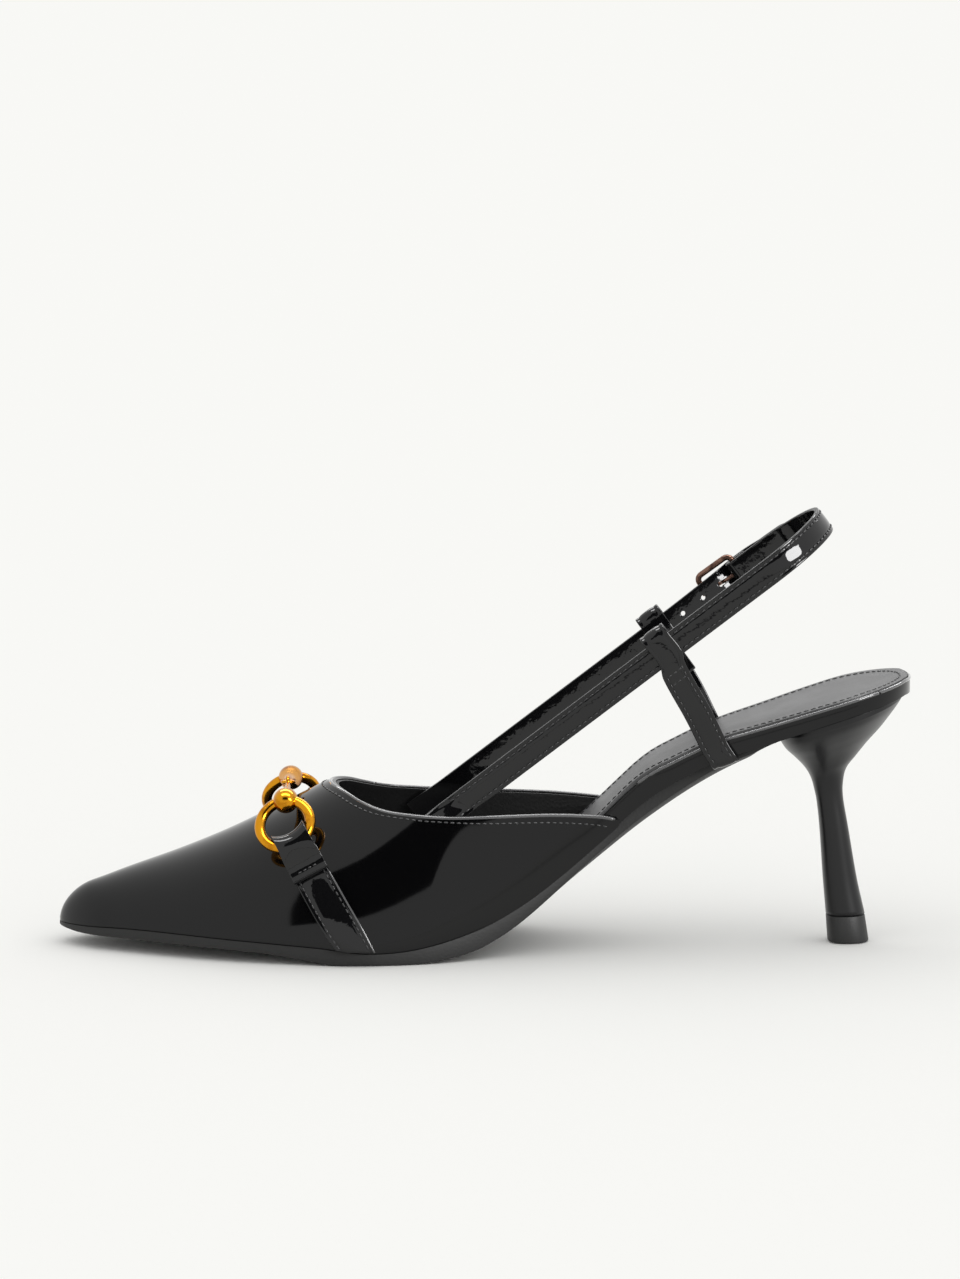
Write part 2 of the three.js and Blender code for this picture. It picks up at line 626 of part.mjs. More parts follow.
function vampStrap(side) {
  const { out, centre, pull, wide, fold } = ringAxes(side);
  const startZ = seamZ(strapFootX) + 0.5;
  const climb = 10;
  const onVamp = steps(0, 0.8, climb);
  const turns = steps(0, Math.PI, 8);
  const backs = [3, 6, 9];
  const last = onVamp.length + turns.length + backs.length - 1;
  const under = fold.clone().addScaledVector(out, -bendInner - strapThick / 2);
  return bend(last, 4, 1, (u, v, w) => {
    const i = Math.round(u * last);
    const width = mix(vampStrapWidth, foldWidth, ease(climb * 0.4, climb, i));
    const slide = (v - 0.5) * width;
    const layer = (w - 0.5) * strapThick;
    if (i < onVamp.length) {
      const k = onVamp[i];
      const x = mix(strapFootX, under.x, k);
      const z = mix(startZ, under.z, k);
      const lean = Math.atan2(strapFootX - under.x, under.z - startZ) * 0.75 * ease(0, 0.3, k);
      const spotX = x + slide * Math.cos(lean);
      const spotZ = Math.max(z + slide * Math.sin(lean) * 0.8, seamZ(spotX) + 0.2);
      return vec(spotX, side * wallY(spotX, spotZ, -gap - 0.15 - strapThick / 2 - layer), spotZ);
    }
    const j = i - onVamp.length;
    const reach = centre.clone().addScaledVector(wide, slide);
    reach.addScaledVector(pull, -Math.sqrt(ringRadius ** 2 - slide ** 2));
    if (j < turns.length) {
      const radius = bendInner + strapThick / 2 - layer;
      return reach.addScaledVector(out, -radius * Math.cos(turns[j])).addScaledVector(pull, radius * Math.sin(turns[j]));
    }
    const back = backs[j - turns.length];
    const drop = (bendInner + strapThick / 2) - 2.2 * ease(0, 9, back);
    return reach.addScaledVector(pull, -back).addScaledVector(out, drop - layer);
  });
}

function bitArm(side) {
  const { top } = ringAxes(side);
  const linkGap = 0.85;
  const bore = ringWire + 4 * gap;
  const eyeCentre = vec(ringX, side * linkGap, top.z + 2);
  const eyeRadius = 1.7;
  const lead = eyeCentre.clone().sub(top).normalize();
  const bulb = new THREE.SphereGeometry(4, 12, 8);
  bulb.translate(top.x, top.y, top.z);
  const neck = eyeCentre.clone().addScaledVector(lead, -eyeRadius);
  const path = [0.15, 0.3, 0.5, 0.75, 1].map((k) => top.clone().lerp(neck, k));
  const body = join([tidy(bulb), bar(path, [3.4, 3.1, 2.3, 1.3, 0.8], 8)]);
  const away = lead.clone().cross(vec(1, 0, 0)).normalize();
  const eyeAcross = side < 0 ? away : vec(1, 0, 0);
  const eye = ringWireSolid(eyeCentre, lead, eyeAcross, eyeRadius, 0.55, 12, 6);
  const tunnel = bar([top.clone().setX(ringX - 6), top.clone().setX(ringX + 6)], [bore], 10);
  return join([cut(body, [tunnel]), eye]);
}

for (const [name, side] of [["medial", -1], ["lateral", 1]]) {
  const { centre, length, up } = ringAxes(side);
  put(`vamp_strap_${name}`, vampStrap(side), "patent");
  put(`ring_${name}`, ringWireSolid(centre, length, up, ringRadius, ringWire, 22, 8), "gold");
  put(`bit_arm_${name}`, bitArm(side), "gold");
}

// the ground point under the middle of the whole length
shoe.name = "slingback_pump";
shoe.position.x = -(toeX + heelX) / 2;
export default shoe;
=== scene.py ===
import math
import json
import bpy
import bmesh
from mathutils import Vector, Matrix

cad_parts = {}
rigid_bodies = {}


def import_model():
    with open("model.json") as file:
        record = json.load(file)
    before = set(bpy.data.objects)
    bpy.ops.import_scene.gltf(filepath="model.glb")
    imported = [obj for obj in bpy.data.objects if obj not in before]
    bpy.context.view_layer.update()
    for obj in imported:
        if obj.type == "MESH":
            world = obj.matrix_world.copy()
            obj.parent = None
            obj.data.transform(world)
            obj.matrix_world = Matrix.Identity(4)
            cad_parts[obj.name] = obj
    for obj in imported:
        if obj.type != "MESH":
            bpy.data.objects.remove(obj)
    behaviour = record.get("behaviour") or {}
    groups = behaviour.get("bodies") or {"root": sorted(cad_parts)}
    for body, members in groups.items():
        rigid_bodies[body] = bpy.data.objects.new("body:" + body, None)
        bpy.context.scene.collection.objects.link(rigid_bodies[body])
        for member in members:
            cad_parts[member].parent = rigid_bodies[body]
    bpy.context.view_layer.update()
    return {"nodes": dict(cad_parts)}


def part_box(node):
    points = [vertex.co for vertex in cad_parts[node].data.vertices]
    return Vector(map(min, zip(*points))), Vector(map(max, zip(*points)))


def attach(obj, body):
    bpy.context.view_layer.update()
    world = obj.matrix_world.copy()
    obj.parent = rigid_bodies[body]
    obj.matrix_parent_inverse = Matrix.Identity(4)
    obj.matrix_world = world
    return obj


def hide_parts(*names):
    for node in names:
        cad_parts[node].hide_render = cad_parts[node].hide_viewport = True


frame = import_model()
mm = 0.001

# sizes shared by several pieces, in millimetres along the shoe from the tip of the toe
last = {
    "toe": -125.3, "heel": 127.4, "wing": 41.0, "shape": 0.62, "gap": 0.3,
    "upper": 1.2, "puff": 0.8, "lining": 0.9, "strap": 1.4,
    "slingWidth": 7.7, "slingHalf": 22.0, "slingRise": 49.0, "slope": math.atan(0.762), "backA": 128.2,
}
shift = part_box("outsole")[0][0] / mm - last["toe"]


def mix(a, b, t):
    return a + (b - a) * t


def clamp(x, low=0.0, high=1.0):
    return max(low, min(high, x))


def ease(a, b, x):
    t = clamp((x - a) / (b - a))
    return t * t * (3 - 2 * t)


def curve(points):
    # smooth line through points, level past both ends
    count = len(points)
    slopes = []
    for i in range(count):
        a, b = points[max(i - 1, 0)], points[min(i + 1, count - 1)]
        slopes.append((b[1] - a[1]) / (b[0] - a[0]))

    def at(x):
        if x <= points[0][0]:
            return points[0][1]
        if x >= points[-1][0]:
            return points[-1][1]
        i = 0
        while points[i + 1][0] <= x:
            i += 1
        step = points[i + 1][0] - points[i][0]
        t = (x - points[i][0]) / step
        h = t * t * (3 - 2 * t)
        bend = step * t * (1 - t) * ((1 - t) * slopes[i] - t * slopes[i + 1])
        return mix(points[i][1], points[i + 1][1], h) + bend
    return at


seamZ = curve([(-125, 6.4), (-100, 7.3), (-72, 6.6), (-47, 5.2), (-33, 3.6), (-18, 4.6), (0, 9.3), (12, 15),
               (23.5, 23), (35, 32.5), (50.5, 46), (60, 52), (70, 57), (83.5, 62), (108, 70.7), (125, 75.5)])
soleCurve = curve([(-125, 5), (-118, 4.3), (-94, 4), (-65, 3.1), (-50, 1.2), (-42, -0.1), (-20, -0.1),
                   (-9, 1.2), (0, 3.2), (13, 9.7), (31, 23), (49, 37.2), (66, 48.8), (84, 58.4), (90, 60.6)])
footbedRise = curve([(-125, 4.6), (-60, 5.2), (20, 6.2), (45, 8.8), (57, 7.6), (75, 6.7), (100, 5.7),
                     (127, 5)])
toplineZ = curve([(-44.6, 48.5), (-39.6, 47), (-35.1, 45.1), (-29.2, 43.3), (-23.3, 42.4), (-8.7, 41.4),
                  (20.4, 41.3), (35, 40.4), (41, 39.4)])
crestRise = curve([(-125.3, 9.4), (-116, 11.3), (-107, 14.2), (-89, 20.6), (-71, 28.8), (-44.6, 43.5),
                   (-20, 57), (0, 64), (20, 65.5), (41, 60)])
sideWidth = curve([(-125.3, 9.5), (-111, 15.8), (-100, 21.5), (-85, 28.6), (-70, 34), (-50, 38.3),
                   (-33, 39.2), (-15, 36.3), (0, 30.8), (20, 23.4), (35, 19.4), (50, 17.7), (65, 18.4),
                   (80, 21), (95, 23.8), (105, 24.8)])


def soleZ(x):
    return max(0.0, soleCurve(x))


def roundEnd(q):
    return 1.0 if q >= 1 else math.sqrt(max(0.0, 1 - (1 - q) ** 2))


def halfWidth(x, inset=0.0, least=0.5):
    toe = roundEnd((x - last["toe"] - inset) / 14)
    heel = roundEnd((last["heel"] - inset - x) / 22)
    return max(least, (sideWidth(x) - inset) * toe * heel)


def vampRise(x, inset):
    return max(1.0, (crestRise(x) - inset) * max(0.1, roundEnd((x - last["toe"] - inset) / 10)))


def vampZ(x, share, inset):
    return seamZ(x) + vampRise(x, inset) * max(0.0, 1 - share * share) ** last["shape"]


def wallY(x, z, inset):
    level = clamp((z - seamZ(x)) / vampRise(x, inset))
    return halfWidth(x, inset) * math.sqrt(max(0.0, 1 - level ** (1 / last["shape"])))


throats = {}


def throatAt(inset, low):
    key = (round(inset, 4), round(low, 4))
    if key not in throats:
        a, b = -75.0, -20.0
        for i in range(24):
            x = (a + b) / 2
            if vampZ(x, 0, inset) > toplineZ(x) - low:
                b = x
            else:
                a = x
        throats[key] = b
    return throats[key]


def vampPoint(s, t, inset, low=0.0):
    # s runs medial wing, toe, lateral wing and t runs feather line to topline
    m = abs(s)
    side = 0 if m < 1e-6 else math.copysign(1, s)
    run = m ** 1.8
    footX = mix(last["toe"] + inset, last["wing"], run)
    topX = mix(throatAt(inset, low), last["wing"], run)
    topY = 0 if side == 0 else wallY(topX, toplineZ(topX) - low, inset)
    g = 1 - math.cos(t * math.pi / 2)
    x = mix(footX, topX, g)
    width = halfWidth(x, inset)
    straight = mix(0 if side == 0 else halfWidth(footX, inset), topY, g) / width
    level = mix(1, topY / halfWidth(topX, inset), g)
    share = min(1.0, mix(straight, level, ease(0.5, 0.8, m)))
    return Vector((x, side * share * width, vampZ(x, share, inset)))


# helpers that build and finish pieces
def put(point):
    return Vector(((point.x + shift) * mm, point.y * mm, point.z * mm))


def keep(bm, name, material, smooth=True):
    bmesh.ops.remove_doubles(bm, verts=bm.verts, dist=1e-6)
    bmesh.ops.recalc_face_normals(bm, faces=bm.faces)
    mesh = bpy.data.meshes.new(name)
    bm.to_mesh(mesh)
    bm.free()
    for face in mesh.polygons:
        face.use_smooth = smooth
    piece = bpy.data.objects.new(name, mesh)
    bpy.context.scene.collection.objects.link(piece)
    mesh.materials.append(material)
    return piece


def bevelled(piece, width, segments=3, angle=35):
    # rounds the cut edges so that they catch the light
    mod = piece.modifiers.new("rounded", "BEVEL")
    mod.width = width * mm
    mod.segments = segments
    mod.limit_method = "ANGLE"
    mod.angle_limit = math.radians(angle)
    mod.harden_normals = False
    return piece


def slab(name, nu, nv, place, material, edge=0.3, segments=3, side=None):
    # unit slab with nu by nv faces, every corner placed by place(u, v, w)
    # side is the material of its cut edge
    bm = bmesh.new()
    middle = Matrix.Translation((0.5, 0.5, 1))
    bmesh.ops.create_grid(bm, x_segments=nu, y_segments=nv, size=0.5, matrix=middle)
    grown = bmesh.ops.extrude_face_region(bm, geom=bm.faces[:])
    moved = [v for v in grown["geom"] if isinstance(v, bmesh.types.BMVert)]
    bmesh.ops.translate(bm, verts=moved, vec=(0, 0, -1))
    if side:
        for face in bm.faces:
            levels = [v.co.z for v in face.verts]
            face.material_index = 1 if max(levels) - min(levels) > 0.5 else 0
    for v in bm.verts:
        v.co = put(place(clamp(v.co.x), clamp(v.co.y), clamp(v.co.z)))
    piece = keep(bm, name, material)
    if side:
        piece.data.materials.append(side)
    return bevelled(piece, edge, segments) if edge else piece


def skin(name, nu, nv, place, material, fill=False):
    # open grid wrapped round by place(u, v), welded where it meets itself
    bm = bmesh.new()
    middle = Matrix.Translation((0.5, 0.5, 0))
    bmesh.ops.create_grid(bm, x_segments=nu, y_segments=nv, size=0.5, matrix=middle)
    for v in bm.verts:
        v.co = put(place(clamp(v.co.x), clamp(v.co.y)))
    bmesh.ops.remove_doubles(bm, verts=bm.verts, dist=2e-6)
    if fill:
        bmesh.ops.holes_fill(bm, edges=[e for e in bm.edges if e.is_boundary], sides=0)
    return keep(bm, name, material)


def crossAxes(direction):
    helper = Vector((1, 0, 0)) if abs(direction.x) < 0.8 else Vector((0, 1, 0))
    across = direction.cross(helper).normalized()
    return across, direction.cross(across).normalized()


def rod(name, points, radii, material, around=20, fill=True):
    # round bar through points, with the radius changing along it
    count = len(points)

    def place(u, v):
        i = min(int(round(v * (count - 1))), count - 1)
        way = (points[min(i + 1, count - 1)] - points[max(i - 1, 0)]).normalized()
        across, up = crossAxes(way)
        angle = u * math.tau
        return points[i] + (across * math.cos(angle) + up * math.sin(angle)) * radii[i]
    return skin(name, around, count - 1, place, material, fill)


def wire(name, points, axis, radius, material, around=16):
    # round wire along a closed line lying square to axis
    count = len(points)

    def place(u, v):
        i = int(round(v * count)) % count
        way = points[(i + 1) % count] - points[i - 1]
        across = way.cross(axis).normalized()
        angle = u * math.tau
        return points[i] + (across * math.cos(angle) + axis * math.sin(angle)) * radius
    return skin(name, around, count, place, material)


def circle(centre, across, up, radius, count):
    return [centre + (across * math.cos(k * math.tau / count) + up * math.sin(k * math.tau / count)) * radius
            for k in range(count)]


def stitches(name, path, material, pitch=2.3, length=1.75, thick=0.3):
    # path is (point, outward direction) pairs; one rounded stitch every pitch, centred a little above the
    # surface
    bm = bmesh.new()
    walked, due = 0.0, pitch / 2
    for (a, na), (b, nb) in zip(path, path[1:]):
        step = (b - a).length
        while step > 0 and walked + step >= due:
            t = (due - walked) / step
            spot = a.lerp(b, t)
            way = (b - a).normalized()
            out = na.lerp(nb, t)
            out = (out - way * out.dot(way)).normalized()
            side = way.cross(out)
            turn = Matrix((way, side, out)).transposed().to_4x4()
            size = Matrix.Diagonal((length / 2 * mm, thick * mm, thick * 0.75 * mm, 1))
            bmesh.ops.create_icosphere(bm, subdivisions=2, radius=1,
                                       matrix=Matrix.Translation(put(spot + out * 0.07)) @ turn @ size)
            due += pitch
        walked += step
    mesh = bpy.data.meshes.new(name)
    bm.to_mesh(mesh)
    bm.free()
    for face in mesh.polygons:
        face.use_smooth = True
    mesh.materials.append(material)
    piece = bpy.data.objects.new(name, mesh)
    bpy.context.scene.collection.objects.link(piece)
    return piece


def punched(piece, cutter):
    # takes the cutter's bars out of the piece and keeps the result as its mesh
    mod = piece.modifiers.new("holes", "BOOLEAN")
    mod.operation, mod.solver, mod.object = "DIFFERENCE", "EXACT", cutter
    graph = bpy.context.evaluated_depsgraph_get()
    mesh = bpy.data.meshes.new_from_object(piece.evaluated_get(graph))
    piece.modifiers.clear()
    piece.data = mesh
    bpy.data.objects.remove(cutter)


def pressed(v, rowAt, depth=0.2, wide=0.07):
    # dip of a face along its two stitch rows, deepest on each row
    near = min(abs(v - rowAt), abs(1 - rowAt - v))
    return -depth * math.exp(-(near / wide) ** 2)


def done(piece, body="shoe", nodes=()):
    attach(piece, body)
    if nodes:
        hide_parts(*nodes)
    return piece


# finishes
def colour(code):
    parts = [int(code[i:i + 2], 16) / 255 for i in (1, 3, 5)]
    return tuple(c / 12.92 if c <= 0.04045 else ((c + 0.055) / 1.055) ** 2.4 for c in parts) + (1.0,)


def addNode(tree, kind, settings=None, values=None, links=None):
    node = tree.nodes.new(kind)
    for key, value in (settings or {}).items():
        setattr(node, key, value)
    for key, value in (values or {}).items():
        node.inputs[key].default_value = value
    for key, source in (links or {}).items():
        tree.links.new(source, node.inputs[key])
    return node


def finish(name, code, rough, metal=0.0, coat=0.0, coatRough=0.03, grain=None, weave=None, patch=None,
           ior=1.5):
    # grain is (size in mm, strength); patch is (hex, size in mm, share) for a second tone
    material = bpy.data.materials.new(name)
    material.use_nodes = True
    tree = material.node_tree
    shader = tree.nodes["Principled BSDF"]
    shader.inputs["Base Color"].default_value = colour(code)
    shader.inputs["Roughness"].default_value = rough
    shader.inputs["Metallic"].default_value = metal
    shader.inputs["IOR"].default_value = ior
    shader.inputs["Coat Weight"].default_value = coat
    shader.inputs["Coat Roughness"].default_value = coatRough
    where = addNode(tree, "ShaderNodeTexCoord")
    if patch:
        tone, size, share = patch
        noise = addNode(tree, "ShaderNodeTexNoise",
                        values={"Scale": 1 / (size * mm), "Detail": 4.0, "Roughness": 0.6},
                        links={"Vector": where.outputs["Object"]})
        ramp = addNode(tree, "ShaderNodeValToRGB", links={"Fac": noise.outputs["Fac"]})
        ramp.color_ramp.elements[0].position = share
        ramp.color_ramp.elements[0].color = colour(tone)
        ramp.color_ramp.elements[1].position = min(1.0, share + 0.18)
        ramp.color_ramp.elements[1].color = colour(code)
        tree.links.new(ramp.outputs["Color"], shader.inputs["Base Color"])
    height = None
    if grain:
        size, strength = grain
        height = addNode(tree, "ShaderNodeTexNoise", values={"Scale": 1 / (size * mm), "Detail": 3.0},
                         links={"Vector": where.outputs["Object"]}).outputs["Fac"]
    if weave:
        size, strength = weave
        height = addNode(tree, "ShaderNodeTexVoronoi", values={"Scale": 1 / (size * mm)},
                         links={"Vector": where.outputs["Object"]}).outputs["Distance"]
    if height:
        bump = addNode(tree, "ShaderNodeBump", values={"Strength": strength, "Distance": 0.0002},
                       links={"Height": height})
        tree.links.new(bump.outputs["Normal"], shader.inputs["Normal"])
    return material


# slow ripples under a wet gloss
patent = finish("patent leather", "#070708", 0.07, grain=(16, 0.12), ior=1.38)
# tighter ripples, so the shine breaks up
strapPatent = finish("patent leather strap", "#080809", 0.05, grain=(4.5, 0.4), ior=1.46)
# lighter grey tone as a painted highlight, so it reads as a thin bright line
paintedHighlightPatent = finish("painted highlight on patent rolled edge", "#3a3a3b", 0.12, coat=1.0, grain=(3, 0.1))
# matte dark of cut edges and holes
edgeInk = finish("inked leather edge", "#101011", 0.42, grain=(1.2, 0.3))
# dull inside with fine pores
liningSkin = finish("pigskin lining", "#161616", 0.6, weave=(0.9, 0.4))
# dull sheen
sockSkin = finish("brushed leather sock", "#3c3c3d", 0.42, grain=(0.8, 0.35), patch=("#303031", 9, 0.42))
# flat dark line under the upper
soleSkin = finish("matte black sole", "#0d0d0d", 0.55, grain=(0.7, 0.35))
# smooth lacquer, soft highlights
heelSkin = finish("satin heel cover", "#131314", 0.3, grain=(6, 0.05), ior=1.38)
# faint tooth against the satin heel
liftRubber = finish("top lift rubber", "#121212", 0.5, grain=(0.5, 0.3))
# small glints along the rows
threadMat = finish("waxed black thread", "#1b1b1c", 0.4, coat=0.1, grain=(0.25, 0.4))
# warm gold, with random patches in its darker shadow tone as painted shade
gold = finish("gold plate with painted shade patches", "#d3901f", 0.16, metal=1.0, grain=(4, 0.06),
              patch=("#a3620f", 6, 0.34))
# bronze glint
darkMetal = finish("dark plated metal", "#7c5f52", 0.2, metal=1.0, grain=(2.0, 0.1),
                   patch=("#4a3832", 2.6, 0.38))
# dry tan card, never seen outside
boardMat = finish("fibre board", "#a98a5e", 0.9, grain=(0.6, 0.5))
# pale open cells under the sock
foamMat = finish("latex foam", "#d8c9a4", 0.95, weave=(0.8, 0.6))
# dull grey hardware inside
steelMat = finish("plain steel", "#8d8f93", 0.35, metal=1.0, grain=(0.8, 0.2))
print("finishes made")

# sole, footbed and sock
sole = {"half": (0.2, 4.6), "lift": 3.2, "end": 87.0, "edge": 0.45}


def soleHalf(x):
    return halfWidth(x, mix(sole["half"][0], sole["half"][1], ease(-10, 40, x)))


def along(a, b, u):
    return mix(a, b, (1 - math.cos(math.pi * u)) / 2)


def solePlace(u, v, w):
    x = along(last["toe"], sole["end"], u)
    across = 2 * v - 1
    lift = mix(0, sole["lift"], ease(-5, 45, x)) * (1 - 0.5 * ease(70, 90, x))
    low = soleZ(x) + lift * abs(across) ** 2.5
    high = seamZ(x) - last["gap"]
    low = mix(low, high - 0.6, ease(79, sole["end"], x))  # skived thin where it meets the heel
    return Vector((x, across * soleHalf(x), mix(low, high, w)))


done(slab("outsoleSkin", 120, 16, solePlace, soleSkin, sole["edge"]), "shoe", ("outsole",))

bed = {"from": 30.0, "band": 0.8, "bandEdge": 0.75, "sockIn": 0.7, "sockEdge": 0.35, "seamIn": 2.4,
       "stitch": (2.2, 1.65, 0.27), "rim": 0.5}


def bedInset(x):
    return mix(0, 3.4, 1 - ease(42, 56, x))


def layerZ(x, share):
    return seamZ(x) + footbedRise(x) * share


def bandPlace(u, v, w):
    x = along(bed["from"], last["heel"], u)
    bulge = 0.35 * math.sin(math.pi * clamp(w))
    half = halfWidth(x, bedInset(x)) + bulge * 0.5
    return Vector((x, (2 * v - 1) * half, mix(seamZ(x), layerZ(x, bed["band"]), w)))


done(slab("bandSkin", 110, 8, bandPlace, patent, bed["bandEdge"], 4), "shoe", ("footbed_band",))


def sockHalf(x, inset=0.0):
    deep = last["upper"] + last["puff"] + last["lining"] + 2 * last["gap"]
    inVamp = wallY(x, layerZ(x, 1), deep) - 2 * last["gap"]
    return max(0.4, mix(inVamp, halfWidth(x, bed["sockIn"]), ease(42, 56, x)) - inset)


def sockTop(x, across):
    # shallow cup at the seat and a soft dish at the waist
    dish = 0.35 * (1 - across * across) * ease(50, 90, x)
    return layerZ(x, 1) - dish


def sockPlace(u, v, w):
    x = along(-115, last["heel"] - bed["sockIn"], u)
    across = 2 * v - 1
    low = layerZ(x, bed["band"]) + 0.1
    return Vector((x, across * sockHalf(x), mix(low, sockTop(x, across), w)))


done(slab("sockSkinPiece", 130, 14, sockPlace, sockSkin, bed["sockEdge"]), "shoe", ("sock_lining",))


def sockRow(inset):
    path = []
    spots = [along(-70, last["heel"] - bed["sockIn"] - inset, k / 160) for k in range(161)]
    for side, run in ((-1, spots), (1, spots[::-1])):
        for x in run:
            y = side * max(0.0, sockHalf(x, inset) if x < 105 else halfWidth(x, bed["sockIn"] + inset, 0.0))
            path.append((Vector((x, y, sockTop(x, y / max(1, sockHalf(x))) + 0.05)), Vector((0, 0, 1))))
    return path


done(stitches("sockStitches", sockRow(bed["seamIn"]), threadMat, *bed["stitch"]))
print("sole, band and sock made")

# thin rolled rim round the seat, over the join of band and sock, in a lighter tone as a painted highlight
rimPath = []
for side, run in ((-1, range(121)), (1, range(119, -1, -1))):
    for k in run:
        x = mix(46, last["heel"] - 0.1, math.sin(k / 120 * math.pi / 2))
        y = side * halfWidth(x, bedInset(x) + 0.25, 0.0)
        rimPath.append(Vector((x, y, layerZ(x, bed["band"]) + 0.15)))
done(rod("seatRimHighlight", rimPath, [0.3] + [bed["rim"]] * (len(rimPath) - 2) + [0.3], paintedHighlightPatent, 12))

# vamp and its lining
vamp = {"edge": 0.42, "rowDown": 2.6, "rowPitch": 1.9, "stitch": (1.4, 0.27), "bead": 0.55}


def upperPlace(u, v, w):
    return vampPoint(2 * u - 1, v, last["upper"] * (1 - w))


done(slab("vampSkin", 190, 44, upperPlace, patent, vamp["edge"]), "shoe", ("vamp_upper",))


def liningPlace(u, v, w):
    s = 2 * u - 1
    toeShare = 1 - ease(0.5, 0.66, abs(s))
    deep = mix(last["upper"] + last["gap"], last["upper"] + last["puff"] + 2 * last["gap"],
               toeShare * (1 - ease(0.6, 0.85, v)))
    deep -= 0.22 * ease(0.85, 0.97, v)
    return vampPoint(s, v, deep + last["lining"] * (1 - w), 0.35)


done(slab("liningSkinPiece", 150, 36, liningPlace, liningSkin, 0.3), "shoe", ("vamp_lining",))


def vampOut(s, t):
    here = vampPoint(s, t, 0)
    du = vampPoint(s + 0.004, t, 0) - vampPoint(s - 0.004, t, 0)
    dv = vampPoint(s, t, 0) - vampPoint(s, t - 0.01, 0)
    out = du.cross(dv).normalized()
    if out.dot(Vector((0, here.y, 20))) < 0:
        out.negate()
    return out


def toplineRow(down, reach=0.985, count=240):
    path = []
    for k in range(count + 1):
        s = mix(-reach, reach, k / count)
        top, low = vampPoint(s, 1, 0), vampPoint(s, 0.8, 0)
        t = 1 - 0.2 * down / max(0.5, (top - low).length)
        t = max(0.2, t)
        path.append((vampPoint(s, t, 0), vampOut(s, t)))
    return path


done(stitches("toplineStitches", toplineRow(vamp["rowDown"]), threadMat, vamp["rowPitch"],
              *vamp["stitch"]))
# rolled bead along the topline, in a lighter tone as a painted highlight
beadPath = [spot - out * 0.35 for spot, out in toplineRow(0.0, 0.992, 360)]
done(rod("toplineBeadHighlight", beadPath, [0.3] + [vamp["bead"]] * (len(beadPath) - 2) + [0.3], paintedHighlightPatent, 14))
print("vamp made")

# heel and top lift
liftHigh = 8.1
heelRows = [(103.1, liftHigh + 0.3, 114.7, liftHigh + 0.3, 5.8), (102.1, 19.3, 112.2, 19.3, 5.1),
            (101, 34, 109.6, 34, 4.5), (100.1, 42, 108, 43, 4.3), (99.4, 45.4, 107.9, 48, 4.7),
            (98.6, 48.4, 108.9, 52.4, 6), (97.4, 51, 111.9, 56.5, 8.4), (95.6, 53.4, 115.2, 60.8, 11.4),
            (93.2, 55.8, 118.8, 65, 15), (90.8, 58, 121.6, 68.8, 18.6), (89.2, 60.4, 123.8, 72, 21.6),
            (88.6, 62.6, 125.2, 74.4, 23.2)]
heelCurves = [curve([(k, row[j]) for k, row in enumerate(heelRows)]) for j in range(5)]


def heelSection(values, angle):
    frontX, frontZ, backX, backZ, half = values
    power = 0.55 if math.cos(angle) < 0 else 0.95
    run = math.copysign(abs(math.cos(angle)) ** power, math.cos(angle))
    share = (run + 1) / 2
    return Vector((mix(frontX, backX, share), half * math.sin(angle), mix(frontZ, backZ, share)))


def heelPlace(u, v):
    level = v * len(heelRows)
    angle = u * math.tau
    point = heelSection([c(min(level, len(heelRows) - 1)) for c in heelCurves], angle)
    rim = clamp(level - (len(heelRows) - 1))
    point.z = mix(point.z, seamZ(point.x) - last["gap"], rim)
    return point


done(skin("heelSkinPiece", 72, 120, heelPlace, heelSkin, True), "shoe", ("heel_block",))


def liftPlace(u, v, w):
    # square slab folded to the same outline as the heel foot
    across, over = 2 * u - 1, 2 * v - 1
    reach = max(abs(across), abs(over))
    angle = math.atan2(over, across)
    low, high = (103.7, 0, 116, 0, 6.1), (103.1, liftHigh, 114.7, liftHigh, 5.8)
    values = [mix(a, b, w) for a, b in zip(low, high)]
    rimPoint = heelSection(values, angle)
    middle = Vector((mix(values[0], values[2], 0.5), 0, values[1]))
    return middle.lerp(rimPoint, reach)


done(slab("topLiftPiece", 16, 16, liftPlace, liftRubber, 0.4), "shoe", ("top_lift",))
print("heel made")

# sling, billet and the lines along them
slope = last["slope"]
alongWay = Vector((math.cos(slope), 0, math.sin(slope)))
squareWay = Vector((-math.sin(slope), 0, math.cos(slope)))
sling = {"edge": 0.38, "rowIn": 1.25, "stitch": (2.05, 1.55, 0.26), "crown": 0.16, "bar": 98.0,
         "foldBack": 4.3, "wire": 0.9, "frame": 12.0, "halfWidth": 5.7,
         "holePitch": 7.4, "holeBack": 6.5, "hole": 0.75, "holeInUse": 0.95}


def onSling(a, b, c):
    return Vector((0, b, last["slingRise"])) + alongWay * a + squareWay * c


def strapFace(a, c):
    spot = onSling(a, 0, c)
    wall = wallY(spot.x, spot.z, last["upper"] + last["lining"] + 3.4 * last["gap"])
    return mix(wall, last["slingHalf"], ease(-1, 5, spot.z - toplineZ(spot.x)))


backCentre = last["backA"] - last["slingHalf"]
thick = last["strap"]
foldIn = sling["wire"] + last["gap"]
foldOut = foldIn + thick
barB = last["slingHalf"] + foldIn


def spread(a, b, count):
    return [mix(a, b, k / count) for k in range(count + 1)]


def straightAt(a, side):
    return lambda c: ((a, side * strapFace(a, c)), (a, side * (strapFace(a, c) - thick)))


def turnedAt(angle, lift=0.0):
    outer = last["slingHalf"] + lift
    x, y = math.cos(angle), math.sin(angle)
    inner = outer - thick
    return lambda c: ((backCentre + outer * x, outer * y), (backCentre + inner * x, inner * y))


def foldedAt(angle):
    x, y = math.sin(angle), math.cos(angle)
    return lambda c: ((sling["bar"] - foldIn * x, barB - foldIn * y),
                      (sling["bar"] - foldOut * x, barB - foldOut * y))


def levelAt(a):
    return lambda c: ((a, billetFace(a)), (a, billetFace(a) - thick))


